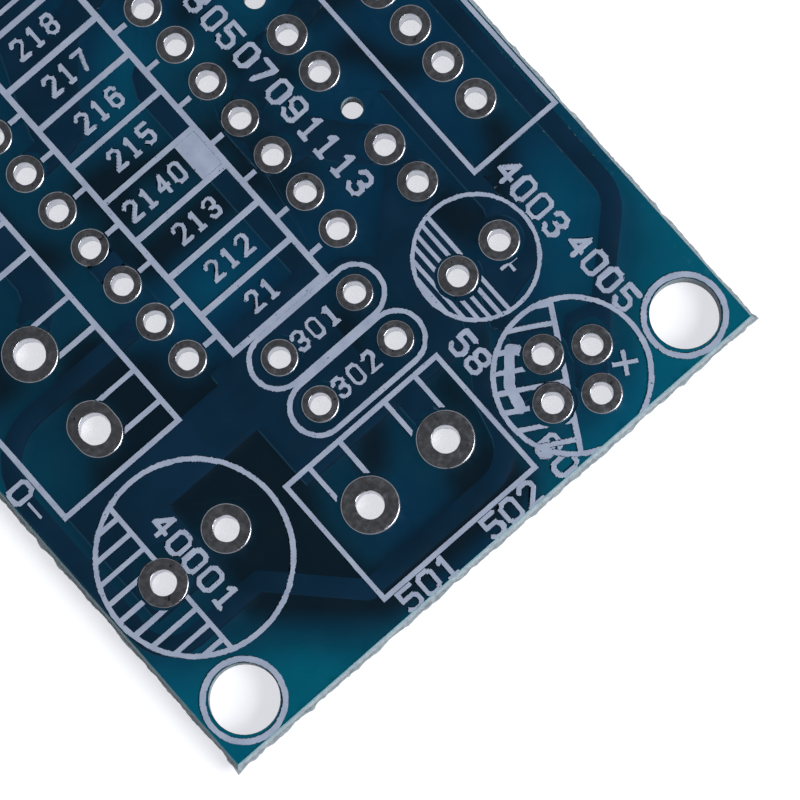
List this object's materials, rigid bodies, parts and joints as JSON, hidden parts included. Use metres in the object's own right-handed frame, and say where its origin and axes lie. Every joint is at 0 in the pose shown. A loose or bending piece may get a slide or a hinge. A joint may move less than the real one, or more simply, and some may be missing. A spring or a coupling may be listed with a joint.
{
  "type": "bare circuit board",
  "caption": "Bare two-sided printed circuit board with plated lead holes, corner mounting holes, dark solder mask, pale printed legend and snapped edges.",
  "frame": {"origin": "middle of the board's underside, on the surface that it lies on", "axes": "+X across the board towards the chip's side, +Y along it from the output end to the input end, +Z out of the printed face"},
  "size_m": [0.0352, 0.0512, 0.0016],
  "materials": {
    "laminate": "glass-fibre epoxy, rough and whitish where it was snapped",
    "copper_foil": "rolled copper under mask",
    "solder_mask": "translucent dark blue-green, satin gloss",
    "tinned_pads": "dull dark solder-coated copper",
    "legend_ink": "pale blue-grey printed ink"
  },
  "bodies": {
    "root": {"base_laminate": "laminate", "top_ground_copper": "copper_foil", "border_track": "copper_foil", "supply_track": "copper_foil", "top_link_tracks": "copper_foil", "bottom_ground_copper": "copper_foil", "bottom_link_tracks": "copper_foil", "top_solder_mask": "solder_mask", "bottom_solder_mask": "solder_mask", "axial_pads": "tinned_pads", "chip_pads": "tinned_pads", "film_capacitor_pads": "tinned_pads", "large_capacitor_pads": "tinned_pads", "small_capacitor_pads": "tinned_pads", "four_hole_capacitor_pads": "tinned_pads", "output_terminal_pads": "tinned_pads", "supply_terminal_pads": "tinned_pads", "input_terminal_pads": "tinned_pads", "mounting_hole_rings": "legend_ink", "axial_outlines": "legend_ink", "diode_band": "legend_ink", "chip_outline": "legend_ink", "film_capacitor_outlines": "legend_ink", "large_capacitor_outlines": "legend_ink", "small_capacitor_outlines": "legend_ink", "four_hole_capacitor_outline": "legend_ink", "output_terminal_outline": "legend_ink", "supply_terminal_outline": "legend_ink", "input_terminal_outline": "legend_ink", "polarity_marks": "legend_ink", "position_numbers": "legend_ink", "pin_numbers": "legend_ink"}
  },
  "joints": []
}
